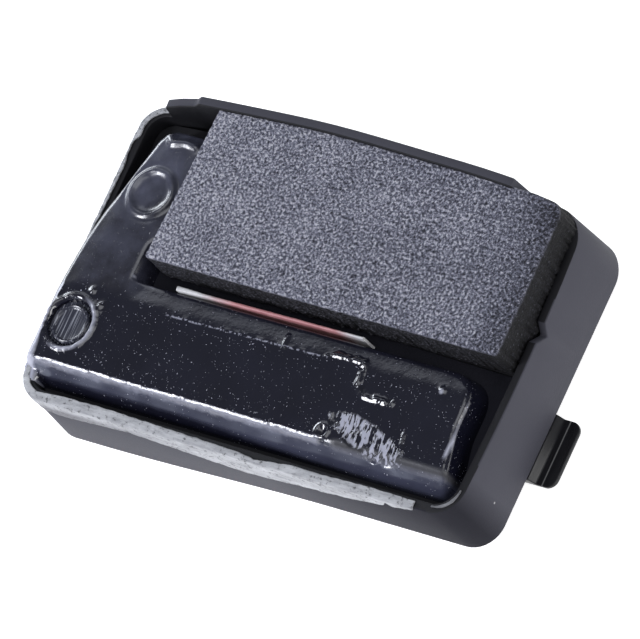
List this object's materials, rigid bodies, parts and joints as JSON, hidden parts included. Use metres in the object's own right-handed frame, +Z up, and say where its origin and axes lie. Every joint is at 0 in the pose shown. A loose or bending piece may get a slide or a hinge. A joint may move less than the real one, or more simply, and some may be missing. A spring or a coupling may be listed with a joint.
{
  "type": "ink pad cartridge",
  "caption": "Clip-in ink pad cartridge: shallow moulded tray, film-sealed ink felt, raised stamping foam and a sprung latch tongue.",
  "frame": {"origin": "underside of the base plate, in the middle of the housing", "axes": "+Z up through the inking face, +X along the long side towards the latch, +Y towards the raised back wall"},
  "size_m": [0.0439, 0.0263, 0.0107],
  "materials": {
    "housing": "satin moulded plastic, dark grey to black",
    "latch": "glossy black moulded plastic",
    "inner_plastic": "matte moulded plastic, ink-stained",
    "felt": "felt soaked with black ink",
    "foam": "open-cell foam, speckled dark grey, inked",
    "wick": "white strip stained pinkish red",
    "film": "glossy blue-black heat-formed film",
    "seal_strip": "pale grey bonded edge, scuffed and speckled",
    "pin": "dark plastic with fine straight scratches"
  },
  "bodies": {
    "tray": {"base_plate": "housing", "housing_tray": "housing", "ink_cell": "inner_plastic", "ink_felt": "felt", "feed_felt": "felt", "foam_grid": "inner_plastic", "foam_core": "foam", "wick_strip": "wick", "film_cover": "film", "seal_strip_front": "seal_strip", "seal_strip_left": "seal_strip", "seal_strip_corner": "seal_strip", "locking_pin_front_left": "pin", "locking_pin_back_left": "pin", "locking_pin_front_right": "pin", "locking_pin_back_right": "pin", "pin_ring_front_left": "pin", "pin_ring_back_left": "pin"},
    "latch": {"latch_clip": "latch"},
    "inking_face": {"foam_face": "foam"}
  },
  "joints": [
    {"name": "latch_flex", "type": "hinge", "parent": "tray", "child": "latch", "pos_m": [0.0132, -0.00345, 0.0006], "axis": [0, 1, 0], "range_deg": [0, 6], "stiffness_Nm_per_rad": 0.02},
    {"name": "pad_press", "type": "slide", "parent": "tray", "child": "inking_face", "axis": [0, 0, -1], "range_m": [0, 0.0008], "stiffness_N_per_m": 600, "deforming": ["foam_core"]}
  ]
}
